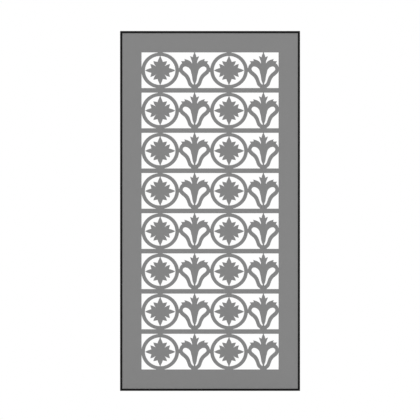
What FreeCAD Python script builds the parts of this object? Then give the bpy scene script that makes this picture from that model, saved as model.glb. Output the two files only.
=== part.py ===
import FreeCAD, Part
import math
import os

from FreeCAD import Placement, Rotation, Vector

# A framed privacy screen panel: a pierced sheet held in a slim mitred frame.
# Millimetres. Seen from the front, x runs to the right, y to the back and z up.
# The origin is the middle of the underside.

# Overall size, over the frame
PANEL_WIDTH = 900.0
PANEL_HEIGHT = 1800.0

# Frame extrusion. Its section is drawn with u in from the panel's edge and v back from its front.
FRAME_WIDTH = 22.0
FRAME_DEPTH = 25.0
FRAME_WALL = 1.6
LIP_THICKNESS = 1.6
LIP_COVER = 7.4
OUTER_RADIUS = 0.8
EDGE_RADIUS = 0.4
MITRE_GAP = 0.2

# Sheet, and what beds its edge in the groove. Blocks and spacers have a drain channel against the frame.
SHEET_THICKNESS = 3.0
EDGE_GAP = 2.0
GASKET_THICKNESS = 2.0
GASKET_WIDTH = 10.0
GASKET_SETBACK = 0.6
BLOCK_LENGTH = 80.0
BLOCK_INSET = 200.0
SPACER_LENGTH = 50.0
SPACER_INSET = 400.0
CHANNEL_WIDTH = 1.2
CHANNEL_DEPTH = 0.7

# Corner keys and their countersunk screws
KEY_LEG = 70.0
KEY_CLEARANCE = 0.2
KEY_LEAD = 2.0
KEY_SCREW_INSET = 46.0
SCREW_SHANK = 4.0
SCREW_HEAD = 7.6
SCREW_CLEARANCE = 0.15
SCREW_TIP_COVER = 4.0
SOCKET_FLATS = 2.5
SOCKET_DEPTH = 1.2

# Side fixings: bolt holes in the stiles' outer walls, each reached through a capped hole opposite
FIXINGS_PER_SIDE = 4
FIXING_END = 150.0
FIXING_HOLE = 6.5
ACCESS_EDGE = 1.1
CAP_RIM = 1.5
CAP_HEAD = 1.2
CAP_BARREL = 5.0
CAP_WALL = 1.4
CAP_CLEARANCE = 0.15

# Slots in the underside that drain the groove
WEEP_LENGTH = 25.0
WEEP_WIDTH = 3.0
WEEP_INSET = 120.0

# Pierced pattern: rows of rings and flowers by turns, with a plain bar between rows. Neighbours in a row
# are joined by short necks, and the motifs at its ends run into the border.
BORDER = 107.4
ROWS = 8
PAIRS = 2
BAR_HEIGHT = 23.0
FLOWER_WIDTH = 154.0
END_OVERLAP = 1.2
NECK_GAP = 0.7
NECK_HEIGHT = 19.0
NECK_RISE = 1.2
NECK_WELD = 6.0

# Rings hang a little low in their row, tied to the bars above and below
RING_OVERLAP = 0.4
RING_DROP = 1.0
RING_SIDE_BAND = 18.3
RING_TOP_BAND = 17.2
RING_TOP_TIE = 25.0
RING_FOOT_TIE = 41.0

# The pattern is drawn in hundredths of the space that each motif fills
HUNDREDTH = 0.01

# Half of the flower's outline from its top point down to its foot, as strokes that meet at corners.
# Places are in hundredths of half its width, across, and of half the row, up. Past 100 is in the bar.
FLOWER_STROKES = [
    [(3, 105), (3, 99), (8, 87), (11, 73)],
    [(11, 73), (29, 80)],
    [(29, 80), (25, 68), (19, 55), (16, 45), (18, 38)],
    [(18, 38), (23, 46), (39, 56), (68, 64)],
    [(68, 64), (64, 57), (64, 52)],
    [(64, 52), (76, 51), (89, 52)],
    [(89, 52), (84, 45), (81, 39)],
    [
        (81, 39), (94, 27), (100, 5), (93, -15), (66, -36), (51, -56), (44, -73), (36, -87), (21, -99),
        (19, -105),
    ],
]

# Drop-shaped opening between the flower's stem and its curled leaf, in the same hundredths
DROP_CURVE = [
    (59, 21), (40, 15), (26, 0), (23, -11), (18, -28), (9, -66), (5, -76), (6, -80), (14, -76),
    (22, -66), (28, -50), (49, -20), (68, -6), (77, 5), (73, 16),
]

# A quarter of the star, from its upper point round to its right point, in hundredths of the space
# inside the ring. Its upper and lower points run into the ring, and its side points stop short.
STAR_STROKES = [
    [(2, 103), (4, 94), (12, 75), (17, 59)],
    [(17, 59), (45, 65)],
    [(45, 65), (41, 50), (29, 29)],
    [(29, 29), (50, 41), (65, 45)],
    [(65, 45), (58, 17)],
    [(58, 17), (75, 12), (97, 2)],
]

# Points closer than this are one point
TOUCH = 1e-6

# Depths of the frame's section, from the front
groove_depth = SHEET_THICKNESS + GASKET_THICKNESS
sheet_back = LIP_THICKNESS + SHEET_THICKNESS
seat_front = LIP_THICKNESS + groove_depth
hollow_front = seat_front + FRAME_WALL
hollow_back = FRAME_DEPTH - FRAME_WALL
hollow_depth = hollow_back - hollow_front
hollow_middle = (hollow_front + hollow_back) / 2

# Places across the frame's section, from the panel's edge
sheet_edge = FRAME_WALL + EDGE_GAP
lip_width = sheet_edge + LIP_COVER
hollow_width = FRAME_WIDTH - 2 * FRAME_WALL
gasket_inner = FRAME_WIDTH - GASKET_SETBACK
gasket_outer = gasket_inner - GASKET_WIDTH

access_hole = hollow_depth - 2 * ACCESS_EDGE
fixing_pitch = (PANEL_HEIGHT - 2 * FIXING_END) / (FIXINGS_PER_SIDE - 1)
fixing_places = [FIXING_END + i * fixing_pitch for i in range(FIXINGS_PER_SIDE)]

# Sizes of the pattern
window_width = PANEL_WIDTH - 2 * BORDER
window_height = PANEL_HEIGHT - 2 * BORDER
row_height = (window_height - (ROWS - 1) * BAR_HEIGHT) / ROWS
row_pitch = row_height + BAR_HEIGHT
row_length = window_width + 2 * END_OVERLAP - (2 * PAIRS - 1) * NECK_GAP
ring_width = row_length / PAIRS - FLOWER_WIDTH
ring_height = row_height + 2 * RING_OVERLAP


def rounded_face(corners):
    """Flat face in the x-y plane inside a closed outline of (x, y, radius) corners."""
    strokes = []
    for i, (x, y, radius) in enumerate(corners):
        here = Vector(x, y, 0)
        before = corners[i - 1]
        after = corners[(i + 1) % len(corners)]
        back = (Vector(before[0], before[1], 0) - here).normalize()
        ahead = (Vector(after[0], after[1], 0) - here).normalize()
        half_angle = back.getAngle(ahead) / 2
        setback = radius / math.tan(half_angle)
        crown = here + (back + ahead).normalize() * (radius / math.sin(half_angle) - radius)
        strokes.append([here + back * setback, crown, here + ahead * setback])
    edges = []
    for i, (start, crown, end) in enumerate(strokes):
        if (end - start).Length > TOUCH:
            edges.append(Part.Arc(start, crown, end).toShape())
        following = strokes[(i + 1) % len(strokes)][0]
        if (following - end).Length > TOUCH:
            edges.append(Part.makeLine(end, following))
    return Part.Face(Part.Wire(edges))


def rectangle(x0, y0, x1, y1):
    """Flat rectangle in the x-y plane between two corners."""
    return rounded_face([(x0, y0, 0), (x1, y0, 0), (x1, y1, 0), (x0, y1, 0)])


def block(low, high):
    """Upright box between two opposite corners."""
    size = high - low
    return Part.makeBox(size.x, size.y, size.z, low)


def section_placement(origin, inward):
    """Placement of a piece drawn with x inward, y to the back and z along the frame."""
    back = Vector(0, 1, 0)
    return Placement(origin, Rotation(inward, back, inward.cross(back), "XYZ"))


# Where each side of the frame starts, and which way is inward from it
SIDES = {
    "left": section_placement(Vector(-PANEL_WIDTH / 2, -FRAME_DEPTH / 2, 0), Vector(1, 0, 0)),
    "top": section_placement(Vector(-PANEL_WIDTH / 2, -FRAME_DEPTH / 2, PANEL_HEIGHT), Vector(0, 0, -1)),
    "right": section_placement(Vector(PANEL_WIDTH / 2, -FRAME_DEPTH / 2, PANEL_HEIGHT), Vector(-1, 0, 0)),
    "bottom": section_placement(Vector(PANEL_WIDTH / 2, -FRAME_DEPTH / 2, 0), Vector(0, 0, 1)),
}

# Each corner is where a side starts
CORNERS = {
    "bottom_left": SIDES["left"],
    "top_left": SIDES["top"],
    "top_right": SIDES["right"],
    "bottom_right": SIDES["bottom"],
}


def stroke(points):
    """Edge through the points: straight for two, one smooth curve for more."""
    if len(points) == 2:
        return Part.makeLine(points[0], points[1])
    curve = Part.BSplineCurve()
    curve.interpolate(points)
    return curve.toShape()


def closed_face(strokes):
    """Flat face inside strokes that run on from one another, closed by straight edges where they stop."""
    edges = []
    for i, points in enumerate(strokes):
        edges.append(stroke(points))
        following = strokes[(i + 1) % len(strokes)]
        if (points[-1] - following[0]).Length > TOUCH:
            edges.append(Part.makeLine(points[-1], following[0]))
    return Part.Face(Part.Wire(edges))


def ellipse_face(centre, half_width, half_height):
    """Flat oval with its axes across and up."""
    curve = Part.Ellipse(Vector(0, 0, 0), max(half_width, half_height), min(half_width, half_height))
    edge = curve.toShape()
    if half_height > half_width:
        edge.rotate(Vector(0, 0, 0), Vector(0, 0, 1), 90)
    edge.translate(centre)
    return Part.Face(Part.Wire(edge))


def flower(middle):
    """One lotus flower: stem, side barbs and two curled leaves, over the full height of its row."""
    across = FLOWER_WIDTH / 2 * HUNDREDTH
    up = row_height / 2 * HUNDREDTH

    def at(point, side):
        return Vector(middle + side * point[0] * across, point[1] * up, 0)

    right = [[at(p, 1) for p in points] for points in FLOWER_STROKES]
    left = [[at(p, -1) for p in reversed(points)] for points in reversed(FLOWER_STROKES)]
    body = closed_face(right + left)
    drops = []
    for side in (1, -1):
        curve = Part.BSplineCurve()
        curve.interpolate([at(p, side) for p in DROP_CURVE], PeriodicFlag=True)
        drops.append(Part.Face(Part.Wire(curve.toShape())))
    return [body.cut(drops)]


def star(centre, half_width, half_height):
    """Twelve-pointed star drawn in the oval space of the given half sizes."""
    strokes = []
    for side, level in ((1, 1), (1, -1), (-1, -1), (-1, 1)):
        across = side * half_width * HUNDREDTH
        up = level * half_height * HUNDREDTH
        quarter = [[centre + Vector(x * across, y * up, 0) for x, y in points] for points in STAR_STROKES]
        if side != level:
            quarter = [points[::-1] for points in quarter[::-1]]
        strokes.extend(quarter)
    return closed_face(strokes)


def ring(middle):
    """One ring with its star, tied to the bar above and the bar below."""
    centre = Vector(middle, -RING_DROP, 0)
    inner_half_width = ring_width / 2 - RING_SIDE_BAND
    inner_half_height = ring_height / 2 - RING_TOP_BAND
    hoop = ellipse_face(centre, ring_width / 2, ring_height / 2)
    hoop = hoop.cut(ellipse_face(centre, inner_half_width, inner_half_height))
    inner_star = star(centre, inner_half_width, inner_half_height)
    band_middle = inner_half_height + RING_TOP_BAND / 2
    reach = row_height / 2 + BAR_HEIGHT / 4
    top_tie = rectangle(
        middle - RING_TOP_TIE / 2, band_middle - RING_DROP, middle + RING_TOP_TIE / 2, reach
    )
    foot_tie = rectangle(
        middle - RING_FOOT_TIE / 2, -reach, middle + RING_FOOT_TIE / 2, -band_middle - RING_DROP
    )
    return [hoop, inner_star, top_tie, foot_tie]


def neck(left_end):
    """Short tie across the gap between two neighbours in a row."""
    low = NECK_RISE - NECK_HEIGHT / 2
    return rectangle(left_end - NECK_WELD, low, left_end + NECK_GAP + NECK_WELD, low + NECK_HEIGHT)


def row_openings():
    """Openings of one row as flat faces, with the row's middle on the x axis."""
    metal = []
    x = -window_width / 2 - END_OVERLAP
    for place in range(2 * PAIRS):
        width, draw = (FLOWER_WIDTH, flower) if place % 2 else (ring_width, ring)
        if place:
            metal.append(neck(x))
            x += NECK_GAP
        metal.extend(draw(x + width / 2))
        x += width
    window = rectangle(-window_width / 2, -row_height / 2, window_width / 2, row_height / 2)
    return window.cut(metal).Faces


def screen_sheet():
    """Pierced sheet, its edge in the groove all round, its face against the lip."""
    half_width = PANEL_WIDTH / 2 - sheet_edge
    wires = [rectangle(-half_width, sheet_edge, half_width, PANEL_HEIGHT - sheet_edge).OuterWire]
    openings = row_openings()
    for row in range(ROWS):
        row_middle = BORDER + row_height / 2 + row * row_pitch
        for opening in openings:
            wires.append(opening.OuterWire.translated(Vector(0, row_middle, 0)))
    flat = Part.makeFace(wires, "Part::FaceMakerBullseye")
    sheet = flat.extrude(Vector(0, 0, SHEET_THICKNESS))
    sheet.Placement = Placement(
        Vector(0, sheet_back - FRAME_DEPTH / 2, 0), Rotation(Vector(1, 0, 0), 90)
    )
    return sheet


def frame_section():
    """Section of the frame: lip, groove and seat in front of a hollow box."""
    outline = rounded_face([
        (0, 0, OUTER_RADIUS),
        (0, FRAME_DEPTH, OUTER_RADIUS),
        (FRAME_WIDTH, FRAME_DEPTH, OUTER_RADIUS),
        (FRAME_WIDTH, seat_front, EDGE_RADIUS),
        (FRAME_WALL, seat_front, 0),
        (FRAME_WALL, LIP_THICKNESS, 0),
        (lip_width, LIP_THICKNESS, 0),
        (lip_width, 0, EDGE_RADIUS),
    ])
    return outline.cut(rectangle(FRAME_WALL, hollow_front, FRAME_WIDTH - FRAME_WALL, hollow_back))


def mitre_waste(length):
    """Corner waste at both ends of a frame length, each cut face half the mitre gap back."""
    setback = MITRE_GAP / math.sqrt(2)
    over = FRAME_WIDTH * 2
    waste = []
    for end, inward in ((0, 1), (length, -1)):
        corners = [
            Vector(-over, -FRAME_DEPTH, end + inward * (setback - over)),
            Vector(over, -FRAME_DEPTH, end + inward * (setback + over)),
            Vector(over, -FRAME_DEPTH, end + inward * (setback - over)),
        ]
        wedge = Part.Face(Part.makePolygon(corners + corners[:1]))
        waste.append(wedge.extrude(Vector(0, 3 * FRAME_DEPTH, 0)))
    return waste


def screw_hole(u, w):
    """Countersunk hole through the back wall and into the key, from the back face."""
    radius = SCREW_SHANK / 2 + SCREW_CLEARANCE
    head_radius = SCREW_HEAD / 2 + SCREW_CLEARANCE
    forward = Vector(0, -1, 0)
    face = Vector(u, FRAME_DEPTH, w)
    sink = Part.makeCone(head_radius, radius, head_radius - radius, face, forward)
    bore = Part.makeCylinder(radius, FRAME_DEPTH - hollow_front - SCREW_TIP_COVER / 2, face, forward)
    return sink.fuse(bore)


def frame_length(length):
    """One side of the frame, mitred, with its corner screws' holes in the back."""
    bar = frame_section().extrude(Vector(0, 0, length))
    cuts = mitre_waste(length)
    for place in (KEY_SCREW_INSET, length - KEY_SCREW_INSET):
        cuts.append(screw_hole(FRAME_WIDTH / 2, place))
    return bar.cut(cuts)


def stile():
    """Upright of the frame, with its fixing holes and the access holes opposite."""
    cuts = []
    along = Vector(1, 0, 0)
    for place in fixing_places:
        outer_wall = Vector(-FRAME_WALL, hollow_middle, place)
        inner_wall = Vector(FRAME_WIDTH - 2 * FRAME_WALL, hollow_middle, place)
        cuts.append(Part.makeCylinder(FIXING_HOLE / 2, 3 * FRAME_WALL, outer_wall, along))
        cuts.append(Part.makeCylinder(access_hole / 2, 3 * FRAME_WALL, inner_wall, along))
    return frame_length(PANEL_HEIGHT).cut(cuts)


def bottom_rail():
    """Lower rail, with round-ended weep slots under the groove."""
    slots = []
    radius = WEEP_WIDTH / 2
    middle_depth = LIP_THICKNESS + groove_depth / 2
    for side in (-1, 1):
        middle = PANEL_WIDTH / 2 + side * WEEP_INSET
        start = middle - WEEP_LENGTH / 2
        end = middle + WEEP_LENGTH / 2
        slot = rounded_face([
            (start, middle_depth - radius, radius),
            (end, middle_depth - radius, radius),
            (end, middle_depth + radius, radius),
            (start, middle_depth + radius, radius),
        ]).extrude(Vector(0, 0, 3 * FRAME_WALL))
        slot.Placement = Placement(
            Vector(2 * FRAME_WALL, 0, 0), Rotation(Vector(0, 1, 0), -90)
        )
        slots.append(slot)
    return frame_length(PANEL_WIDTH).cut(slots)


def corner_key():
    """Cast angle that fills the hollow round a corner, drilled for its two screws."""
    near = FRAME_WALL + KEY_CLEARANCE
    far = near + hollow_width - 2 * KEY_CLEARANCE
    tip = near + KEY_LEG
    front = hollow_front + KEY_CLEARANCE
    outline = [
        (near, near), (tip - KEY_LEAD, near), (tip, near + KEY_LEAD), (tip, far - KEY_LEAD),
        (tip - KEY_LEAD, far), (far, far), (far, tip - KEY_LEAD), (far - KEY_LEAD, tip),
        (near + KEY_LEAD, tip), (near, tip - KEY_LEAD),
    ]
    corners = [Vector(u, front, w) for u, w in outline]
    flat = Part.Face(Part.makePolygon(corners + corners[:1]))
    angle = flat.extrude(Vector(0, hollow_depth - 2 * KEY_CLEARANCE, 0))
    return angle.cut([
        screw_hole(FRAME_WIDTH / 2, KEY_SCREW_INSET),
        screw_hole(KEY_SCREW_INSET, FRAME_WIDTH / 2),
    ])


def key_screw(u, w):
    """Countersunk socket screw, flush with the frame's back and ending inside the key."""
    forward = Vector(0, -1, 0)
    face = Vector(u, FRAME_DEPTH, w)
    head_height = (SCREW_HEAD - SCREW_SHANK) / 2
    head = Part.makeCone(SCREW_HEAD / 2, SCREW_SHANK / 2, head_height, face, forward)
    length = FRAME_DEPTH - hollow_front - SCREW_TIP_COVER
    shank = Part.makeCylinder(SCREW_SHANK / 2, length, face, forward)
    corner_radius = SOCKET_FLATS / math.sqrt(3)
    corners = []
    for i in range(6):
        turn = math.radians(60 * i)
        corners.append(face + Vector(corner_radius * math.cos(turn), 0, corner_radius * math.sin(turn)))
    socket = Part.Face(Part.makePolygon(corners + corners[:1])).extrude(forward * SOCKET_DEPTH)
    return head.fuse(shank).removeSplitter().cut(socket)


def gasket(length, end_gap):
    """Rubber strip between the sheet's back and the seat, held back from each end of its side."""
    return block(
        Vector(gasket_outer, sheet_back, end_gap), Vector(gasket_inner, seat_front, length - end_gap)
    )


def edge_packer(start, length):
    """Packing piece between the sheet's edge and the bottom of the groove, where water drains under it."""
    end = start + length
    middle = (LIP_THICKNESS + sheet_back) / 2
    packer = block(Vector(FRAME_WALL, LIP_THICKNESS, start), Vector(sheet_edge, sheet_back, end))
    channel = block(
        Vector(FRAME_WALL, middle - CHANNEL_WIDTH / 2, start),
        Vector(FRAME_WALL + CHANNEL_DEPTH, middle + CHANNEL_WIDTH / 2, end),
    )
    return packer.cut(channel)


def access_cap(place):
    """Plug in an access hole: a thin round head with a rounded rim, and a hollow barrel."""
    outward = Vector(1, 0, 0)
    face = Vector(FRAME_WIDTH, hollow_middle, place)
    head_radius = access_hole / 2 + CAP_RIM
    barrel_radius = access_hole / 2 - CAP_CLEARANCE
    head = Part.makeCylinder(head_radius, CAP_HEAD, face, outward)
    rim = [edge for edge in head.Edges if edge.CenterOfMass.x > FRAME_WIDTH + CAP_HEAD / 2 and edge.Closed]
    head = head.makeFillet(CAP_HEAD / 2, rim)
    barrel = Part.makeCylinder(barrel_radius, CAP_BARREL, face, -outward)
    bore = Part.makeCylinder(barrel_radius - CAP_WALL, CAP_BARREL, face, -outward)
    return head.fuse(barrel.cut(bore)).removeSplitter()


def placed(shape, placement):
    """Copy of a shape drawn on the frame's section, put in its place on the panel."""
    copy = shape.copy()
    copy.Placement = placement.multiply(copy.Placement)
    return copy


def all_parts():
    """Every piece of the panel by its name."""
    parts = {"screen_sheet": screen_sheet()}

    upright = stile()
    parts["left_stile"] = placed(upright, SIDES["left"])
    parts["right_stile"] = placed(upright, SIDES["right"])
    parts["top_rail"] = placed(frame_length(PANEL_WIDTH), SIDES["top"])
    parts["bottom_rail"] = placed(bottom_rail(), SIDES["bottom"])

    key = corner_key()
    screw_pair = [key_screw(FRAME_WIDTH / 2, KEY_SCREW_INSET), key_screw(KEY_SCREW_INSET, FRAME_WIDTH / 2)]
    screws = []
    for corner, placement in CORNERS.items():
        parts["corner_key_" + corner] = placed(key, placement)
        screws.extend(placed(screw, placement) for screw in screw_pair)
    parts["key_screws"] = Part.makeCompound(screws)

    for side in ("top", "bottom"):
        parts["gasket_" + side] = placed(gasket(PANEL_WIDTH, gasket_outer), SIDES[side])
    for side in ("left", "right"):
        parts["gasket_" + side] = placed(gasket(PANEL_HEIGHT, gasket_inner), SIDES[side])

    block_starts = {
        "right": PANEL_WIDTH / 2 - BLOCK_INSET - BLOCK_LENGTH / 2,
        "left": PANEL_WIDTH / 2 + BLOCK_INSET - BLOCK_LENGTH / 2,
    }
    for name, start in block_starts.items():
        parts["setting_block_" + name] = placed(edge_packer(start, BLOCK_LENGTH), SIDES["bottom"])

    low_start = SPACER_INSET - SPACER_LENGTH / 2
    high_start = PANEL_HEIGHT - SPACER_INSET - SPACER_LENGTH / 2
    spacer_starts = {
        "left": {"lower": low_start, "upper": high_start},
        "right": {"lower": high_start, "upper": low_start},
    }
    for side, starts in spacer_starts.items():
        for level, start in starts.items():
            name = "side_spacer_" + side + "_" + level
            parts[name] = placed(edge_packer(start, SPACER_LENGTH), SIDES[side])

    for side in ("left", "right"):
        upward = fixing_places if side == "left" else list(reversed(fixing_places))
        for number, place in enumerate(upward, start=1):
            parts["access_cap_%s_%d" % (side, number)] = placed(access_cap(place), SIDES[side])
    return parts


os.makedirs("parts", exist_ok=True)
for part_name, part_shape in all_parts().items():
    part_shape.exportStep("parts/%s.step" % part_name)
    print(part_name, len(part_shape.Solids), part_shape.isValid(), round(part_shape.Volume, 1))
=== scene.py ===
import logging
import math
from collections.abc import Callable, Iterator
from contextlib import contextmanager
from dataclasses import dataclass, field
from enum import Enum
from typing import Any, Protocol

import bmesh
import bpy
from mathutils import Matrix, Vector


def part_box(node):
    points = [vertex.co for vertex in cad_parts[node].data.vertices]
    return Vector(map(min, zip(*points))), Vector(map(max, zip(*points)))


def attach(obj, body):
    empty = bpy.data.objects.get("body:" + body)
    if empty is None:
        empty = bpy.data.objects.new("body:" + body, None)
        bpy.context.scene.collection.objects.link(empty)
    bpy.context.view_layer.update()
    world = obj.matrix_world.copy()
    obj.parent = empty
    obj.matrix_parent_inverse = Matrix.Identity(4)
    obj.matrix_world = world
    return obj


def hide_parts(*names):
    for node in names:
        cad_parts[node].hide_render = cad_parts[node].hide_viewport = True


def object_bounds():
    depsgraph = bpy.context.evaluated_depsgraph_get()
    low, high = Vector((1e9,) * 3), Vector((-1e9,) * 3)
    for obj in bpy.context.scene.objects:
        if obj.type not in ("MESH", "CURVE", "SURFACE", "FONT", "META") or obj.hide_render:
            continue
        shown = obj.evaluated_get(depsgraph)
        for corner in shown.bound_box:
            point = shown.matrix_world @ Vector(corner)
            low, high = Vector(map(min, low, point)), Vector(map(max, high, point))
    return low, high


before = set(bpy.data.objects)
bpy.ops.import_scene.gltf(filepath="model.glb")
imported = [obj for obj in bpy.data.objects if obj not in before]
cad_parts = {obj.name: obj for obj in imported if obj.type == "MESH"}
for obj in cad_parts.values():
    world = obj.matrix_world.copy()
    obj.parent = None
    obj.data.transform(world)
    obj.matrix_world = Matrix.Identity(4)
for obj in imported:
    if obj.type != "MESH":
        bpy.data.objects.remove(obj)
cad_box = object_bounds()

# The looks of a framed privacy screen panel: a pierced grey sheet in a slim black frame.
# Blender works in metres; sizes below that end in _mm are millimetres, as on a drawing.
MM = 0.001
BODY = "root"
log = logging.getLogger("privacy_screen")

# Ways to the panel's back and to its right
BACK = Vector((0.0, 1.0, 0.0))
RIGHT = Vector((1.0, 0.0, 0.0))

# Places closer than this count as one, and points closer than the weld are merged
NEAR = 0.01 * MM
WELD = 0.001 * MM

# A face whose normal has at least this share of a direction faces that way
SQUARE_ON = 0.999

# Faces that turn by more than the first meet at an edge, and by less than the second lie flat
EDGE_DEG = 30.0
FLAT_DEG = 1.0

# Steps in which the edges of a cast or moulded piece are rounded
EASE_STEPS = 2

# Least and most share of the depth direction in the normal of a face that eases a coated edge
EASED_SHARES = (0.2, 0.95)

# Face attribute that is 1 where a coat is thinner over an edge, and where a paler tone also paints a
# highlight
THIN_COAT_AND_HIGHLIGHT = "thin_film"

# Map of a turned piece, laid flat across its axis
LATHE_MAP = "lathe"

# A wave texture of scale 1 has this many waves in a unit
WAVES_PER_UNIT = 20 / (2 * math.pi)

# Nearly all values of a noise texture lie between these
NOISE_LOW = 0.3
NOISE_HIGH = 0.7

# Nearly all distances of a cell texture lie under this
CELL_REACH = 0.8


class Side(Enum):
    """Sides of the panel as seen from the front, each with the way from it to the panel's middle."""

    LEFT = ("left", (1.0, 0.0, 0.0))
    RIGHT = ("right", (-1.0, 0.0, 0.0))
    TOP = ("top", (0.0, 0.0, -1.0))
    BOTTOM = ("bottom", (0.0, 0.0, 1.0))

    @property
    def word(self) -> str:
        """The side's name as the CAD nodes spell it."""
        return self.value[0]

    @property
    def inward(self) -> Vector:
        """Direction from this side to the panel's middle."""
        return Vector(self.value[1])


class Element(Enum):
    """Kinds of mesh element that edit mode can select."""

    EDGE = "edges"
    FACE = "faces"


def linear(tone: str) -> tuple[float, float, float, float]:
    """Turns an sRGB hex colour into linear light.

    Args:
        tone: Colour such as "#848484".

    Returns:
        Linear red, green and blue, and an alpha of 1.
    """
    shares = [int(tone[i:i + 2], 16) / 255 for i in (1, 3, 5)]
    light = [s / 12.92 if s <= 0.04045 else ((s + 0.055) / 1.055) ** 2.4 for s in shares]
    return light[0], light[1], light[2], 1.0


def per_metre(size_mm: float) -> float:
    """Scale at which a pattern repeats about once in the given size."""
    return 1 / (size_mm * MM)


def add_node(
    tree: bpy.types.NodeTree,
    kind: str,
    settings: dict[str, Any] | None = None,
    sockets: dict[str | int, Any] | None = None,
) -> bpy.types.Node:
    """Adds one node with its settings and links.

    Args:
        tree: Node tree that takes the node.
        kind: Blender's type name of the node.
        settings: The node's own properties, by name.
        sockets: What each input gets, by name or place: a plain value, or an output to link.

    Returns:
        The new node.
    """
    node = tree.nodes.new(kind)
    for name, value in (settings or {}).items():
        setattr(node, name, value)
    for name, value in (sockets or {}).items():
        if isinstance(value, bpy.types.NodeSocket):
            tree.links.new(value, node.inputs[name])
        else:
            node.inputs[name].default_value = value
    return node


@dataclass
class Blank:
    """A new material with its shader in place, ready for a pattern."""

    material: bpy.types.Material
    tree: bpy.types.NodeTree
    shader: bpy.types.Node
    place: bpy.types.NodeSocket

    @classmethod
    def named(cls, name: str, **values: Any) -> "Blank":
        """Makes a material that holds only a shader.

        Args:
            name: The material's name.
            values: Values that are the same all over, by shader socket, with _ for a space.

        Returns:
            The blank, with Object coordinates to draw on.
        """
        material = bpy.data.materials.new(name)
        material.use_nodes = True
        tree = material.node_tree
        tree.nodes.clear()
        sockets = {socket.replace("_", " "): value for socket, value in values.items()}
        shader = add_node(tree, "ShaderNodeBsdfPrincipled", None, sockets)
        add_node(tree, "ShaderNodeOutputMaterial", None, {"Surface": shader.outputs["BSDF"]})
        place = add_node(tree, "ShaderNodeTexCoord").outputs["Object"]
        return cls(material, tree, shader, place)

    def feed(self, socket: str, output: bpy.types.NodeSocket) -> None:
        """Links a pattern to one of the shader's inputs."""
        self.tree.links.new(output, self.shader.inputs[socket])


@dataclass(frozen=True)
class PowderCoat:
    """Polyester powder, sprayed dry on aluminium and stoved to one film.

    The film gives the eye a flat, even colour. Its skin is pebbled, so that light breaks up on it
    and nothing mirrors. Over cut edges it is thinner, and these edges are painted a shade paler,
    partly as a painted highlight.
    """

    name: str
    tone: str
    drift_tone: str
    thin_edge_and_highlight_tone: str
    roughness: tuple[float, float]
    specular: float
    pebble_mm: float
    pebble_height_mm: float
    peel_mm: float
    peel_height_mm: float
    drift_mm: float
    ior: float = 1.5

    def material(self) -> bpy.types.Material:
        """Builds the coat: drifting tone, thinner edges with a painted highlight, pebbles on a faint
        orange peel.

        Returns:
            The node material.
        """
        blank = Blank.named(self.name, IOR=self.ior, Specular_IOR_Level=self.specular)
        tree, place = blank.tree, blank.place
        drift = add_node(tree, "ShaderNodeTexNoise", None, {
            "Vector": place, "Scale": per_metre(self.drift_mm), "Detail": 3.0,
        })
        film = add_node(tree, "ShaderNodeMix", {"data_type": "RGBA"}, {
            0: drift.outputs[0], 6: linear(self.tone), 7: linear(self.drift_tone),
        })
        # The faces that ease an edge get a paler tone: the coat is thinner there, and the paler tone is
        # also a painted highlight
        thin_coat_and_highlight_mask = add_node(tree, "ShaderNodeAttribute", {"attribute_name": THIN_COAT_AND_HIGHLIGHT})
        coat = add_node(tree, "ShaderNodeMix", {"data_type": "RGBA"}, {
            0: thin_coat_and_highlight_mask.outputs["Fac"], 6: film.outputs[2], 7: linear(self.thin_edge_and_highlight_tone),
        })
        blank.feed("Base Color", coat.outputs[2])
        pebbles = add_node(tree, "ShaderNodeTexNoise", None, {
            "Vector": place, "Scale": per_metre(self.pebble_mm), "Detail": 2.0, "Roughness": 0.6,
        })
        gloss = add_node(tree, "ShaderNodeMapRange", None, {
            "Value": pebbles.outputs[0], "From Min": NOISE_LOW, "From Max": NOISE_HIGH,
            "To Min": self.roughness[0], "To Max": self.roughness[1],
        })
        blank.feed("Roughness", gloss.outputs[0])
        peel = add_node(tree, "ShaderNodeTexNoise", None, {
            "Vector": place, "Scale": per_metre(self.peel_mm), "Detail": 1.0,
        })
        waves = add_node(tree, "ShaderNodeBump", None, {
            "Distance": self.peel_height_mm * MM, "Height": peel.outputs[0],
        })
        skin = add_node(tree, "ShaderNodeBump", None, {
            "Distance": self.pebble_height_mm * MM, "Height": pebbles.outputs[0],
            "Normal": waves.outputs[0],
        })
        blank.feed("Normal", skin.outputs[0])
        return blank.material


@dataclass(frozen=True)
class MouldedPlastic:
    """Nylon or polypropylene from a spark-eroded mould: an even colour under a fine dull grain."""

    name: str
    tone: str
    flow_tone: str
    roughness: tuple[float, float]
    specular: float
    grain_mm: float
    grain_height_mm: float
    flow_mm: float
    ior: float = 1.53

    def material(self) -> bpy.types.Material:
        """Builds the plastic: faint flow marks in the colour and the mould's grain on the skin.

        Returns:
            The node material.
        """
        blank = Blank.named(self.name, IOR=self.ior, Specular_IOR_Level=self.specular)
        tree, place = blank.tree, blank.place
        flow = add_node(tree, "ShaderNodeTexNoise", None, {
            "Vector": place, "Scale": per_metre(self.flow_mm), "Detail": 2.0, "Distortion": 1.5,
        })
        colour = add_node(tree, "ShaderNodeMix", {"data_type": "RGBA"}, {
            0: flow.outputs[0], 6: linear(self.tone), 7: linear(self.flow_tone),
        })
        blank.feed("Base Color", colour.outputs[2])
        grain = add_node(tree, "ShaderNodeTexVoronoi", None, {
            "Vector": place, "Scale": per_metre(self.grain_mm),
        })
        dulling = add_node(tree, "ShaderNodeMapRange", None, {
            "Value": grain.outputs["Distance"], "From Max": CELL_REACH,
            "To Min": self.roughness[0], "To Max": self.roughness[1],
        })
        blank.feed("Roughness", dulling.outputs[0])
        skin = add_node(tree, "ShaderNodeBump", None, {
            "Distance": self.grain_height_mm * MM, "Height": grain.outputs["Distance"],
        })
        blank.feed("Normal", skin.outputs[0])
        return blank.material


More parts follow.
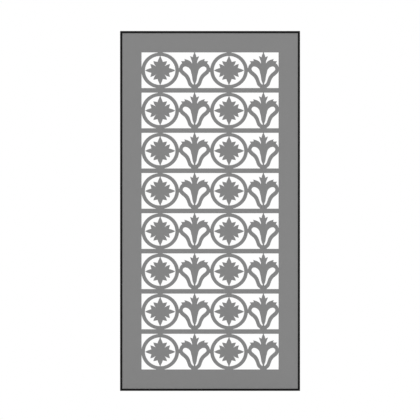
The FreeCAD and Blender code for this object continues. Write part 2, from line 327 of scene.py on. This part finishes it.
@dataclass(frozen=True)
class ExtrudedRubber:
    """EPDM rubber pushed through a die: dull black with a grey bloom, and fine lines along it."""

    name: str
    tone: str
    bloom_tone: str
    roughness: float
    specular: float
    bloom_mm: float
    line_mm: float
    line_height_mm: float
    line_stretch: float
    along: tuple[float, float, float]
    ior: float = 1.52

    def material(self) -> bpy.types.Material:
        """Builds the rubber: patches of bloom, and die lines drawn out along the strip.

        Returns:
            The node material.
        """
        blank = Blank.named(
            self.name, IOR=self.ior, Specular_IOR_Level=self.specular, Roughness=self.roughness,
        )
        tree, place = blank.tree, blank.place
        bloom = add_node(tree, "ShaderNodeTexNoise", None, {
            "Vector": place, "Scale": per_metre(self.bloom_mm), "Detail": 4.0,
        })
        colour = add_node(tree, "ShaderNodeMix", {"data_type": "RGBA"}, {
            0: bloom.outputs[0], 6: linear(self.tone), 7: linear(self.bloom_tone),
        })
        blank.feed("Base Color", colour.outputs[2])
        drawn_out = add_node(tree, "ShaderNodeMapping", None, {
            "Vector": place, "Scale": [1 / self.line_stretch if share else 1.0 for share in self.along],
        })
        lines = add_node(tree, "ShaderNodeTexNoise", None, {
            "Vector": drawn_out.outputs[0], "Scale": per_metre(self.line_mm), "Detail": 1.0,
        })
        skin = add_node(tree, "ShaderNodeBump", None, {
            "Distance": self.line_height_mm * MM, "Height": lines.outputs[0],
        })
        blank.feed("Normal", skin.outputs[0])
        return blank.material


@dataclass(frozen=True)
class CastAluminium:
    """Die-cast aluminium as it leaves the mould: pale grey metal with a dull, sandy skin."""

    name: str
    tone: str
    skin_tone: str
    roughness: tuple[float, float]
    sand_mm: float
    sand_height_mm: float

    def material(self) -> bpy.types.Material:
        """Builds the casting: sandy grains that darken, dull and roughen the metal.

        Returns:
            The node material.
        """
        blank = Blank.named(self.name, Metallic=1.0)
        tree, place = blank.tree, blank.place
        sand = add_node(tree, "ShaderNodeTexNoise", None, {
            "Vector": place, "Scale": per_metre(self.sand_mm), "Detail": 4.0, "Roughness": 0.7,
        })
        colour = add_node(tree, "ShaderNodeMix", {"data_type": "RGBA"}, {
            0: sand.outputs[0], 6: linear(self.tone), 7: linear(self.skin_tone),
        })
        blank.feed("Base Color", colour.outputs[2])
        dulling = add_node(tree, "ShaderNodeMapRange", None, {
            "Value": sand.outputs[0], "From Min": NOISE_LOW, "From Max": NOISE_HIGH,
            "To Min": self.roughness[0], "To Max": self.roughness[1],
        })
        blank.feed("Roughness", dulling.outputs[0])
        skin = add_node(tree, "ShaderNodeBump", None, {
            "Distance": self.sand_height_mm * MM, "Height": sand.outputs[0],
        })
        blank.feed("Normal", skin.outputs[0])
        return blank.material


@dataclass(frozen=True)
class TurnedSteel:
    """Stainless steel turned on a lathe: bright metal with fine rings round the piece's own axis."""

    name: str
    tone: str
    stain_tone: str
    roughness: tuple[float, float]
    ring_mm: float
    ring_height_mm: float
    stain_mm: float

    def material(self) -> bpy.types.Material:
        """Builds the steel: lathe rings on the piece's own map, and a faint handling stain.

        Returns:
            The node material.
        """
        blank = Blank.named(self.name, Metallic=1.0)
        tree, place = blank.tree, blank.place
        stain = add_node(tree, "ShaderNodeTexNoise", None, {
            "Vector": place, "Scale": per_metre(self.stain_mm), "Detail": 2.0,
        })
        colour = add_node(tree, "ShaderNodeMix", {"data_type": "RGBA"}, {
            0: stain.outputs[0], 6: linear(self.tone), 7: linear(self.stain_tone),
        })
        blank.feed("Base Color", colour.outputs[2])
        lathe = add_node(tree, "ShaderNodeUVMap", {"uv_map": LATHE_MAP})
        rings = add_node(tree, "ShaderNodeTexWave", {"wave_type": "RINGS", "rings_direction": "Z"}, {
            "Vector": lathe.outputs[0], "Scale": per_metre(self.ring_mm) / WAVES_PER_UNIT,
            "Distortion": 0.4,
        })
        gloss = add_node(tree, "ShaderNodeMapRange", None, {
            "Value": rings.outputs["Fac"], "To Min": self.roughness[0], "To Max": self.roughness[1],
        })
        blank.feed("Roughness", gloss.outputs[0])
        skin = add_node(tree, "ShaderNodeBump", None, {
            "Distance": self.ring_height_mm * MM, "Height": rings.outputs["Fac"],
        })
        blank.feed("Normal", skin.outputs[0])
        return blank.material


# Matt grey coat of the sheet. Real pebbles are about 0.8 mm wide; they are drawn wider and higher to show.
GREY_COAT = PowderCoat(
    # The paler edge tone is partly a painted highlight on the eased edges
    name="matt_grey_powder_coat", tone="#858585", drift_tone="#838383", thin_edge_and_highlight_tone="#8e8e8e",
    roughness=(0.52, 0.68), specular=0.3, pebble_mm=2.0, pebble_height_mm=0.4,
    peel_mm=9.0, peel_height_mm=0.25, drift_mm=140.0,
)

# Satin black coat of the frame, with smaller pebbles than the sheet's, also drawn wider to show
BLACK_COAT = PowderCoat(
    # The paler edge tone is partly a painted highlight on the eased edges
    name="satin_black_powder_coat", tone="#060606", drift_tone="#090909", thin_edge_and_highlight_tone="#121212",
    roughness=(0.5, 0.65), specular=0.1, pebble_mm=1.4, pebble_height_mm=0.2,
    peel_mm=7.0, peel_height_mm=0.15, drift_mm=90.0,
)

# Black nylon of the access caps, dull enough to sink into the frame. Real grain is about 0.1 mm wide;
# it is drawn wider to show, and the packers' grain is too.
CAP_NYLON = MouldedPlastic(
    name="moulded_black_nylon", tone="#121212", flow_tone="#191919", roughness=(0.42, 0.58),
    specular=0.35, grain_mm=0.7, grain_height_mm=0.03, flow_mm=6.0,
)

# Grey polypropylene of the packers under and beside the sheet, with a faint waxy sheen
PACKER_PLASTIC = MouldedPlastic(
    name="moulded_grey_polypropylene", tone="#5a5a58", flow_tone="#636361", roughness=(0.4, 0.55),
    specular=0.4, grain_mm=0.9, grain_height_mm=0.03, flow_mm=12.0,
)

# Pale dull metal of the keys inside the corners. The grains of its skin are really about 0.3 mm wide;
# they are drawn wider to show.
KEY_METAL = CastAluminium(
    name="die_cast_aluminium", tone="#c3c4c6", skin_tone="#a4a5a8", roughness=(0.42, 0.6),
    sand_mm=1.2, sand_height_mm=0.05,
)

# Bright stainless of the screws that hold the keys. A lathe leaves rings about 0.1 mm apart;
# they are drawn wider apart to show.
SCREW_STEEL = TurnedSteel(
    name="turned_stainless_steel", tone="#cbc9c4", stain_tone="#b9b6b0", roughness=(0.24, 0.36),
    ring_mm=0.3, ring_height_mm=0.003, stain_mm=3.0,
)


def gasket_rubber(side: Side) -> ExtrudedRubber:
    """The gaskets' rubber, with its die lines along the given side and drawn wide enough to show.

    Args:
        side: Side of the panel that the strip runs along.

    Returns:
        The finish of that strip.
    """
    along = (0.0, 0.0, 1.0) if side in (Side.LEFT, Side.RIGHT) else (1.0, 0.0, 0.0)
    return ExtrudedRubber(
        name="extruded_epdm_rubber_" + side.word, tone="#141414", bloom_tone="#232322", roughness=0.78,
        specular=0.3, bloom_mm=18.0, line_mm=0.6, line_height_mm=0.03, line_stretch=60.0, along=along,
    )


def take_up(piece: bpy.types.Object) -> None:
    """Makes one object the active one, and the only one selected.

    Args:
        piece: Object to work on next.
    """
    bpy.ops.object.select_all(action="DESELECT")
    piece.select_set(True)
    bpy.context.view_layer.objects.active = piece


@contextmanager
def editing(piece: bpy.types.Object) -> Iterator[None]:
    """Opens a piece in edit mode, with nothing selected, and closes it again.

    Args:
        piece: Object to edit.

    Yields:
        Nothing, while the piece is open.
    """
    take_up(piece)
    bpy.ops.object.mode_set(mode="EDIT")
    bpy.ops.mesh.select_all(action="DESELECT")
    yield
    bpy.ops.object.mode_set(mode="OBJECT")


def pick(piece: bpy.types.Object, element: Element, wanted: Callable[[Any], bool]) -> None:
    """Selects, in edit mode, only what passes a test of its place or normal.

    Args:
        piece: Object that is open in edit mode.
        element: Whether edges or faces are picked.
        wanted: Test that is true for each one to select.
    """
    bpy.ops.mesh.select_mode(type=element.name)
    bpy.ops.mesh.select_all(action="DESELECT")
    work = bmesh.from_edit_mesh(piece.data)
    for found in getattr(work, element.value):
        if wanted(found):
            found.select_set(True)
    bmesh.update_edit_mesh(piece.data)


def extrude_by(shift: Vector) -> None:
    """Extrudes the selected faces, and moves them by a shift."""
    bpy.ops.mesh.extrude_region_move(TRANSFORM_OT_translate={"value": shift})


def faces_along(direction: Vector, level: float) -> Callable[[Any], bool]:
    """Makes a test for flat faces by their normal and their place.

    Args:
        direction: Unit normal that the faces have.
        level: How far along that normal they lie.

    Returns:
        The test, for pick().
    """
    def wanted(face: bmesh.types.BMFace) -> bool:
        """True for a face with that normal, at that level."""
        there = abs(face.calc_center_median().dot(direction) - level) < NEAR
        return there and face.normal.dot(direction) > SQUARE_ON

    return wanted


def edges_at(direction: Vector, level: float) -> Callable[[Any], bool]:
    """Makes a test for edges that lie in a plane across a direction.

    Args:
        direction: Unit normal of the plane.
        level: How far along that normal the plane lies.

    Returns:
        The test, for pick().
    """
    def wanted(edge: bmesh.types.BMEdge) -> bool:
        """True for an edge with both ends in the plane."""
        return all(abs(end.co.dot(direction) - level) < NEAR for end in edge.verts)

    return wanted


def copy_of(model: bpy.types.Object, name: str, placement: Matrix) -> bpy.types.Object:
    """Copies a modelled piece, with a mesh of its own that holds its place.

    Args:
        model: Piece to copy.
        name: Name of the copy.
        placement: Where the copy goes.

    Returns:
        The copy.
    """
    mesh = model.data.copy()
    mesh.name = name
    mesh.transform(placement)
    piece = bpy.data.objects.new(name, mesh)
    bpy.context.scene.collection.objects.link(piece)
    return piece


def shade_smooth(piece: bpy.types.Object, smooth_deg: float = EDGE_DEG) -> None:
    """Shades a piece smooth, apart from edges sharper than an angle."""
    take_up(piece)
    bpy.ops.object.shade_smooth_by_angle(angle=math.radians(smooth_deg))


def nodes_named(prefixes: str | tuple[str, ...]) -> list[str]:
    """Names of the CAD nodes that start with one of the prefixes, in order."""
    return sorted(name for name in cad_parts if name.startswith(prefixes))


def closed_copy(node: str, name: str) -> bpy.types.Object:
    """Copies a CAD node's loose triangles into one closed skin, shaded smooth between its edges.

    Args:
        node: Name of the CAD node.
        name: Name of the copy.

    Returns:
        The copy.
    """
    piece = copy_of(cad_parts[node], name, Matrix.Identity(4))
    with editing(piece):
        bpy.ops.mesh.select_all(action="SELECT")
        bpy.ops.mesh.remove_doubles(threshold=WELD)
        bpy.ops.mesh.customdata_custom_splitnormals_clear()
    shade_smooth(piece)
    return piece


def eased_copy(node: str, name: str, ease_mm: float) -> bpy.types.Object:
    """Copies a CAD node, and rounds its outer edges as a mould does.

    Args:
        node: Name of the CAD node.
        name: Name of the copy.
        ease_mm: How far back from an edge the rounding starts.

    Returns:
        The copy, in the node's place.
    """
    def wanted(edge: bmesh.types.BMEdge) -> bool:
        """True for an edge where two faces meet outwards."""
        return edge.is_convex and edge.calc_face_angle(0.0) > math.radians(EDGE_DEG)

    piece = closed_copy(node, name)
    with editing(piece):
        bpy.ops.mesh.select_all(action="SELECT")
        bpy.ops.mesh.dissolve_limited(angle_limit=math.radians(FLAT_DEG))
        pick(piece, Element.EDGE, wanted)
        bpy.ops.mesh.bevel(
            offset=ease_mm * MM, segments=EASE_STEPS, affect="EDGES", harden_normals=True,
        )
    fit_in(piece, node)
    return piece


def mark_thin_coat_and_highlight(piece: bpy.types.Object) -> None:
    """Writes 1 on each face that eases an edge, and 0 on the flats and the square walls.

    The coat is thinner on the marked faces, and they are painted paler as a highlight.

    Args:
        piece: Coated piece.
    """
    least, most = EASED_SHARES
    # Paler tone on the eased faces: a thinner coat, and a painted highlight
    film = piece.data.attributes.new(THIN_COAT_AND_HIGHLIGHT, "FLOAT", "FACE")
    for face in piece.data.polygons:
        film.data[face.index].value = 1.0 if least < abs(face.normal.y) < most else 0.0


def dress(piece: bpy.types.Object, material: bpy.types.Material) -> None:
    """Gives a piece one material in place of any that it has."""
    piece.data.materials.clear()
    piece.data.materials.append(material)


def fit_in(piece: bpy.types.Object, node: str) -> None:
    """Puts a piece in the place of a CAD node, and hides that node.

    Args:
        piece: Finished piece.
        node: Name of the CAD node that it stands for.
    """
    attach(piece, BODY)
    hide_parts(node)


class SubAssembly(Protocol):
    """A group of the panel's pieces that is built and dressed together."""

    def build(self) -> list[bpy.types.Object]:
        """Makes the group's pieces."""

    def dress(self) -> None:
        """Gives them their finishes."""


@dataclass
class ScreenSheet:
    """The pierced sheet: its cut edges are eased, as a stoved coat leaves them."""

    node: str = "screen_sheet"
    slot: str = "sheet_coat"
    coat: PowderCoat = GREY_COAT
    ease_mm: float = 0.25
    corner_deg: float = 60.0
    piece: bpy.types.Object | None = None

    def build(self) -> list[bpy.types.Object]:
        """Copies the CAD sheet, eases its cut edges and marks them for a thinner coat and a painted
        highlight.

        Returns:
            The sheet.
        """
        self.piece = closed_copy(self.node, "pierced_sheet")
        with editing(self.piece):
            self.pick_cut_edges()
            bpy.ops.transform.edge_bevelweight(value=1.0)
        self.ease_edges()
        mark_thin_coat_and_highlight(self.piece)
        fit_in(self.piece, self.node)
        return [self.piece]

    def pick_cut_edges(self) -> None:
        """Selects the edges round the sheet's flat faces, and the sharp corners between its walls."""
        low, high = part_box(self.node)

        def wanted(edge: bmesh.types.BMEdge) -> bool:
            """True for a sharp edge with each end on the front or the back."""
            ends = all(min(abs(end.co.y - low.y), abs(end.co.y - high.y)) < NEAR for end in edge.verts)
            return ends and edge.calc_face_angle(0.0) > math.radians(self.corner_deg)

        pick(self.piece, Element.EDGE, wanted)

    def ease_edges(self) -> None:
        """Takes the sharpness off the weighted edges, and leaves the flat faces' shading flat."""
        take_up(self.piece)
        ease = self.piece.modifiers.new("ease", "BEVEL")
        ease.limit_method = "WEIGHT"
        ease.width = self.ease_mm * MM
        ease.segments = 1
        ease.use_clamp_overlap = False
        ease.harden_normals = True
        bpy.ops.object.modifier_apply(modifier=ease.name)

    def dress(self) -> None:
        """Coats the sheet grey."""
        dress(self.piece, self.coat.material())


@dataclass
class MitredFrame:
    """The four mitred lengths of frame, with keys hidden in their corners."""

    length_nodes: tuple[str, ...] = ("left_stile", "right_stile", "top_rail", "bottom_rail")
    length_slot: str = "frame_coat"
    key_prefix: str = "corner_key_"
    key_slot: str = "key_metal"
    coat: PowderCoat = BLACK_COAT
    key_metal: CastAluminium = KEY_METAL
    key_ease_mm: float = 0.5
    lengths: list[bpy.types.Object] = field(default_factory=list)
    keys: list[bpy.types.Object] = field(default_factory=list)

    def build(self) -> list[bpy.types.Object]:
        """Makes the four lengths and the corner keys.

        Returns:
            The lengths and the keys.
        """
        self.lengths = [self.length(node) for node in self.length_nodes]
        self.keys = [
            eased_copy(node, "cast_" + node, self.key_ease_mm)
            for node in nodes_named(self.key_prefix)
        ]
        return self.lengths + self.keys

    def length(self, node: str) -> bpy.types.Object:
        """Copies one length of the frame, and marks its eased edges for a thinner coat and a painted
        highlight.

        Args:
            node: Name of the length's CAD node.

        Returns:
            The length.
        """
        piece = closed_copy(node, "mitred_" + node)
        mark_thin_coat_and_highlight(piece)
        fit_in(piece, node)
        return piece

    def dress(self) -> None:
        """Coats the lengths black, and leaves the keys as cast."""
        black = self.coat.material()
        for piece in self.lengths:
            dress(piece, black)
        cast = self.key_metal.material()
        for key in self.keys:
            dress(key, cast)


@dataclass
class KeyScrews:
    """Countersunk socket screws that hold each corner key from the back."""

    node: str = "key_screws"
    slot: str = "screw_steel"
    steel: TurnedSteel = SCREW_STEEL
    head_mm: float = 7.6
    shank_mm: float = 4.0
    length_mm: float = 12.8
    socket_flats_mm: float = 2.5
    socket_depth_mm: float = 1.2
    rim_mm: float = 0.15
    rim_steps: int = 2
    tip_mm: float = 0.5
    edge_mm: float = 11.0
    inset_mm: float = 46.0
    sides: int = 48
    smooth_deg: float = 35.0
    pieces: list[bpy.types.Object] = field(default_factory=list)

    def build(self) -> list[bpy.types.Object]:
        """Models one screw, and copies it to both sides of each corner.

        Returns:
            The screws.
        """
        model = self.model()
        for number, place in enumerate(self.places(), start=1):
            piece = copy_of(model, f"key_screw_{number}", Matrix.Translation(place))
            fit_in(piece, self.node)
            self.pieces.append(piece)
        bpy.data.objects.remove(model)
        return self.pieces

    def places(self) -> Iterator[Vector]:
        """Works out where the screws' heads lie, flush with the frame's back.

        Yields:
            The middle of each head.
        """
        low, high = cad_box
        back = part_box(self.node)[1].y
        for x_edge, x_way in ((low.x, 1), (high.x, -1)):
            for z_edge, z_way in ((low.z, 1), (high.z, -1)):
                for x_in, z_in in ((self.edge_mm, self.inset_mm), (self.inset_mm, self.edge_mm)):
                    yield Vector((x_edge + x_way * x_in * MM, back, z_edge + z_way * z_in * MM))

    def model(self) -> bpy.types.Object:
        """Models a screw with its head in the x-z plane and its shank to the front.

        Returns:
            The screw, at the origin.
        """
        head = (self.head_mm - self.shank_mm) / 2 * MM
        bpy.ops.object.select_all(action="DESELECT")
        bpy.ops.mesh.primitive_cylinder_add(
            vertices=self.sides, radius=self.head_mm / 2 * MM, depth=head,
            location=BACK * (-head / 2), rotation=(math.radians(90), 0.0, 0.0),
        )
        screw = bpy.context.active_object
        bpy.ops.object.transform_apply(location=True, rotation=True, scale=True)
        with editing(screw):
            self.draw_shank(screw, head)
            self.cut_socket(screw)
            bpy.ops.mesh.select_all(action="SELECT")
            bpy.ops.mesh.normals_make_consistent(inside=False)
        shade_smooth(screw, self.smooth_deg)
        self.map_across_axis(screw)
        return screw

    def draw_shank(self, screw: bpy.types.Object, head: float) -> None:
        """Narrows the head to a cone, and draws the shank out of it.

        Args:
            screw: The screw, in edit mode.
            head: Height of the cone.
        """
        narrow = self.shank_mm / self.head_mm
        pick(screw, Element.FACE, faces_along(-BACK, head))
        bpy.ops.transform.resize(value=(narrow, 1.0, narrow), center_override=BACK * -head)
        shank = self.length_mm * MM - head
        extrude_by(BACK * -shank)
        pick(screw, Element.EDGE, edges_at(-BACK, head + shank))
        bpy.ops.mesh.bevel(offset=self.tip_mm * MM, segments=1, affect="EDGES")
        pick(screw, Element.EDGE, edges_at(BACK, 0.0))
        bpy.ops.mesh.bevel(offset=self.rim_mm * MM, segments=self.rim_steps, affect="EDGES")

    def cut_socket(self, screw: bpy.types.Object) -> None:
        """Sinks a six-sided socket into the head.

        Args:
            screw: The screw, in edit mode.
        """
        corner = self.socket_flats_mm / math.sqrt(3) * MM
        pick(screw, Element.FACE, faces_along(BACK, 0.0))
        bpy.ops.mesh.inset(thickness=(self.head_mm / 2 - self.rim_mm) * MM - corner)
        work = bmesh.from_edit_mesh(screw.data)
        for vert in {v for face in work.faces if face.select for v in face.verts}:
            turn = math.atan2(vert.co.z, vert.co.x)
            off_flat = (turn % (math.pi / 3)) - math.pi / 6
            reach = self.socket_flats_mm / 2 * MM / math.cos(off_flat)
            vert.co.x, vert.co.z = reach * math.cos(turn), reach * math.sin(turn)
        bmesh.update_edit_mesh(screw.data)
        extrude_by(BACK * (-self.socket_depth_mm * MM))

    def map_across_axis(self, screw: bpy.types.Object) -> None:
        """Lays the screw's own map flat across its axis, in metres, for its lathe rings.

        Args:
            screw: The screw, at the origin.
        """
        lathe = screw.data.uv_layers.new(name=LATHE_MAP)
        for loop in screw.data.loops:
            place = screw.data.vertices[loop.vertex_index].co
            lathe.data[loop.index].uv = (place.x, place.z)

    def dress(self) -> None:
        """Leaves the screws bright."""
        steel = self.steel.material()
        for piece in self.pieces:
            dress(piece, steel)


@dataclass
class SheetBedding:
    """What beds the sheet's edge: beaded rubber strips behind it, packers below and beside it."""

    strip_slot: str = "gasket_rubber"
    packer_prefixes: tuple[str, ...] = ("setting_block_", "side_spacer_")
    packer_slot: str = "packer_plastic"
    packer_plastic: MouldedPlastic = PACKER_PLASTIC
    bead_mm: float = 0.9
    bead_steps: int = 4
    groove_mm: float = 0.5
    groove_rim_mm: float = 2.5
    strip_smooth_deg: float = 40.0
    packer_ease_mm: float = 0.2
    strips: dict[Side, bpy.types.Object] = field(default_factory=dict)
    packers: list[bpy.types.Object] = field(default_factory=list)

    def build(self) -> list[bpy.types.Object]:
        """Models the four strips, and makes the packers.

        Returns:
            The strips and the packers.
        """
        self.strips = {side: self.strip(side) for side in Side}
        self.packers = [
            eased_copy(node, "moulded_" + node, self.packer_ease_mm)
            for node in nodes_named(self.packer_prefixes)
        ]
        return list(self.strips.values()) + self.packers

    def strip(self, side: Side) -> bpy.types.Object:
        """Models one strip in the place of its CAD node.

        Args:
            side: Side of the panel that the strip runs along.

        Returns:
            The strip.
        """
        node = "gasket_" + side.word
        low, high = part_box(node)
        bpy.ops.object.select_all(action="DESELECT")
        bpy.ops.mesh.primitive_cube_add(size=1.0, location=(low + high) / 2, scale=high - low)
        strip = bpy.context.active_object
        strip.name = "beaded_" + node
        bpy.ops.object.transform_apply(location=True, rotation=True, scale=True)
        inner = max(high.dot(side.inward), low.dot(side.inward))
        with editing(strip):
            pick(strip, Element.FACE, faces_along(BACK, high.y))
            bpy.ops.mesh.inset(thickness=self.groove_rim_mm * MM)
            bpy.ops.transform.translate(value=BACK * (-self.groove_mm * MM))
            pick(strip, Element.EDGE, self.bead_edges(side, inner))
            bpy.ops.mesh.bevel(offset=self.bead_mm * MM, segments=self.bead_steps, affect="EDGES")
        shade_smooth(strip, self.strip_smooth_deg)
        fit_in(strip, node)
        return strip

    def bead_edges(self, side: Side, inner: float) -> Callable[[Any], bool]:
        """Makes a test for the two long edges of a strip that face the panel's middle.

        Args:
            side: Side of the panel that the strip runs along.
            inner: How far in the strip's inner face lies.

        Returns:
            The test, for pick().
        """
        in_plane = edges_at(side.inward, inner)

        def wanted(edge: bmesh.types.BMEdge) -> bool:
            """True for an edge of the inner face that doesn't run to the back."""
            run = edge.verts[1].co - edge.verts[0].co
            return in_plane(edge) and abs(run.y) < NEAR

        return wanted

    def dress(self) -> None:
        """Makes the strips rubber and the packers plastic."""
        for side, strip in self.strips.items():
            dress(strip, gasket_rubber(side).material())
        plastic = self.packer_plastic.material()
        for packer in self.packers:
            dress(packer, plastic)


@dataclass
class AccessCaps:
    """Push-in caps over the holes through which the side fixings are driven."""

    node_prefix: str = "access_cap_"
    slot: str = "cap_plastic"
    nylon: MouldedPlastic = CAP_NYLON
    head_mm: float = 16.0
    head_height_mm: float = 1.2
    rim_mm: float = 0.6
    rim_steps: int = 5
    dish_rim_mm: float = 1.8
    dish_mm: float = 0.3
    dish_slope_mm: float = 0.9
    barrel_mm: float = 12.7
    barrel_length_mm: float = 5.0
    wall_mm: float = 1.4
    lead_mm: float = 0.5
    lead_steps: int = 2
    sides: int = 64
    smooth_deg: float = 35.0
    pieces: list[bpy.types.Object] = field(default_factory=list)

    def build(self) -> list[bpy.types.Object]:
        """Models one cap, and copies it into each access hole.

        Returns:
            The caps.
        """
        model = self.model()
        height = self.head_height_mm * MM
        for node in nodes_named(self.node_prefix):
            low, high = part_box(node)
            middle = (low + high) / 2
            if middle.x < 0:
                wall, turn = high.x - height, 0.0
            else:
                wall, turn = low.x + height, math.pi
            place = Matrix.Translation((wall, middle.y, middle.z)) @ Matrix.Rotation(turn, 4, "Z")
            piece = copy_of(model, node.replace("access", "dished"), place)
            fit_in(piece, node)
            self.pieces.append(piece)
        bpy.data.objects.remove(model)
        return self.pieces

    def model(self) -> bpy.types.Object:
        """Models a cap whose head lies on the y-z plane and whose barrel runs to the left.

        Returns:
            The cap, at the origin.
        """
        height = self.head_height_mm * MM
        bpy.ops.object.select_all(action="DESELECT")
        bpy.ops.mesh.primitive_cylinder_add(
            vertices=self.sides, radius=self.head_mm / 2 * MM, depth=height,
            location=RIGHT * (height / 2), rotation=(0.0, math.radians(90), 0.0),
        )
        cap = bpy.context.active_object
        bpy.ops.object.transform_apply(location=True, rotation=True, scale=True)
        with editing(cap):
            self.dish_head(cap, height)
            self.draw_barrel(cap)
            bpy.ops.mesh.select_all(action="SELECT")
            bpy.ops.mesh.normals_make_consistent(inside=False)
        shade_smooth(cap, self.smooth_deg)
        return cap

    def dish_head(self, cap: bpy.types.Object, height: float) -> None:
        """Rounds the head's rim, and sinks a shallow dish inside it.

        Args:
            cap: The cap, in edit mode.
            height: Height of the head.
        """
        pick(cap, Element.EDGE, edges_at(RIGHT, height))
        bpy.ops.mesh.bevel(offset=self.rim_mm * MM, segments=self.rim_steps, affect="EDGES")
        pick(cap, Element.FACE, faces_along(RIGHT, height))
        bpy.ops.mesh.inset(thickness=self.dish_rim_mm * MM)
        bpy.ops.mesh.inset(thickness=self.dish_slope_mm * MM, depth=-self.dish_mm * MM)

    def draw_barrel(self, cap: bpy.types.Object) -> None:
        """Draws the hollow barrel out of the head's underside, with a lead at its end.

        Args:
            cap: The cap, in edit mode.
        """
        length = self.barrel_length_mm * MM
        pick(cap, Element.FACE, faces_along(-RIGHT, 0.0))
        bpy.ops.mesh.inset(thickness=(self.head_mm - self.barrel_mm) / 2 * MM)
        extrude_by(RIGHT * -length)
        bpy.ops.mesh.inset(thickness=self.wall_mm * MM)
        extrude_by(RIGHT * length)
        at_end = edges_at(-RIGHT, length)
        wall_middle = (self.barrel_mm - self.wall_mm) / 2 * MM

        def wanted(edge: bmesh.types.BMEdge) -> bool:
            """True for the outer edge of the barrel's end."""
            return at_end(edge) and all(end.co.yz.length > wall_middle for end in edge.verts)

        pick(cap, Element.EDGE, wanted)
        bpy.ops.mesh.bevel(offset=self.lead_mm * MM, segments=self.lead_steps, affect="EDGES")

    def dress(self) -> None:
        """Makes the caps black nylon."""
        nylon = self.nylon.material()
        for piece in self.pieces:
            dress(piece, nylon)


@dataclass(frozen=True)
class Lamp:
    """A far soft lamp: where it stands seen from the panel, how strong and how wide it is."""

    name: str
    towards: tuple[float, float, float]
    strength: float
    spread_deg: float


@dataclass
class Studio:
    """Pale floor, white surround, soft lamps and a camera square to the panel's front."""

    picture_px: int = 420
    mm_per_px: float = 5.001
    middle_px: tuple[float, float] = (210.06, 210.94)
    camera_away: float = 4.0
    floor_size: float = 60.0
    floor_drop_mm: float = 0.3
    floor_tone: str = "#ececec"
    floor_roughness: float = 0.9
    surround_tone: str = "#ffffff"
    surround: float = 0.35
    lamps: tuple[Lamp, ...] = (
        Lamp("key_lamp", (-0.55, -0.85, 0.3), 0.7, 25.0),
        Lamp("fill_lamp", (0.6, -0.8, 0.25), 0.42, 35.0),
        Lamp("top_lamp", (0.05, -0.3, 1.0), 1.15, 45.0),
        Lamp("back_lamp", (0.35, 0.8, 0.25), 1.0, 35.0),
    )

    def build(self) -> None:
        """Sets up the surround, the floor, the lamps and the camera."""
        self.hang_surround()
        self.lay_floor()
        for lamp in self.lamps:
            self.hang_lamp(lamp)
        self.set_camera()
        bpy.context.scene.view_settings.view_transform = "Standard"

    def hang_surround(self) -> None:
        """Makes the world white to the eye and to reflections, and dimmer as a light."""
        world = bpy.data.worlds.new("surround")
        bpy.context.scene.world = world
        world.use_nodes = True
        tree = world.node_tree
        tree.nodes.clear()
        rays = add_node(tree, "ShaderNodeLightPath")
        seen = add_node(tree, "ShaderNodeMath", {"operation": "MAXIMUM"}, {
            0: rays.outputs["Is Camera Ray"], 1: rays.outputs["Is Glossy Ray"],
        })
        shown = add_node(tree, "ShaderNodeMath", {"operation": "MAXIMUM"}, {
            0: seen.outputs[0], 1: rays.outputs["Is Transmission Ray"],
        })
        tone = linear(self.surround_tone)
        light = add_node(tree, "ShaderNodeBackground", None, {"Color": tone, "Strength": self.surround})
        white = add_node(tree, "ShaderNodeBackground", None, {"Color": tone, "Strength": 1.0})
        mixed = add_node(tree, "ShaderNodeMixShader", None, {
            0: shown.outputs[0], 1: light.outputs[0], 2: white.outputs[0],
        })
        add_node(tree, "ShaderNodeOutputWorld", None, {"Surface": mixed.outputs[0]})

    def lay_floor(self) -> None:
        """Lays a wide, plain, pale floor just under the panel."""
        drop = Vector((0.0, 0.0, -self.floor_drop_mm * MM))
        bpy.ops.object.select_all(action="DESELECT")
        bpy.ops.mesh.primitive_plane_add(size=self.floor_size, location=drop)
        floor = bpy.context.active_object
        floor.name = "studio_floor"
        blank = Blank.named(
            "pale_studio_paper", Base_Color=linear(self.floor_tone), Roughness=self.floor_roughness,
        )
        dress(floor, blank.material)

    def hang_lamp(self, lamp: Lamp) -> None:
        """Hangs one soft lamp, turned to the panel.

        Args:
            lamp: Where it stands, and how strong and wide it is.
        """
        light = bpy.data.lights.new(lamp.name, "SUN")
        light.energy = lamp.strength
        light.angle = math.radians(lamp.spread_deg)
        piece = bpy.data.objects.new(lamp.name, light)
        piece.rotation_euler = Vector(lamp.towards).to_track_quat("Z", "Y").to_euler()
        piece.location = Vector(lamp.towards) * self.camera_away
        bpy.context.scene.collection.objects.link(piece)

    def set_camera(self) -> None:
        """Sets a camera with no perspective where the picture was drawn from."""
        low, high = cad_box
        middle = (low + high) / 2
        half = self.picture_px / 2
        camera = bpy.data.cameras.new("front_camera")
        camera.type = "ORTHO"
        camera.ortho_scale = self.picture_px * self.mm_per_px * MM
        piece = bpy.data.objects.new("front_camera", camera)
        piece.location = (
            middle.x - (self.middle_px[0] - half) * self.mm_per_px * MM,
            low.y - self.camera_away,
            middle.z + (self.middle_px[1] - half) * self.mm_per_px * MM,
        )
        piece.rotation_euler = (math.radians(90), 0.0, 0.0)
        bpy.context.scene.collection.objects.link(piece)
        bpy.context.scene.camera = piece


def main() -> None:
    """Builds the studio and the panel's sub-assemblies in order, and reports each piece."""
    logging.basicConfig(level=logging.INFO, format="%(message)s")
    Studio().build()
    groups: list[SubAssembly] = [ScreenSheet(), MitredFrame(), KeyScrews(), SheetBedding(), AccessCaps()]
    for group in groups:
        for piece in group.build():
            log.info("%s: %s, %d faces", type(group).__name__, piece.name, len(piece.data.polygons))
        group.dress()


if __name__ == "__main__":
    main()
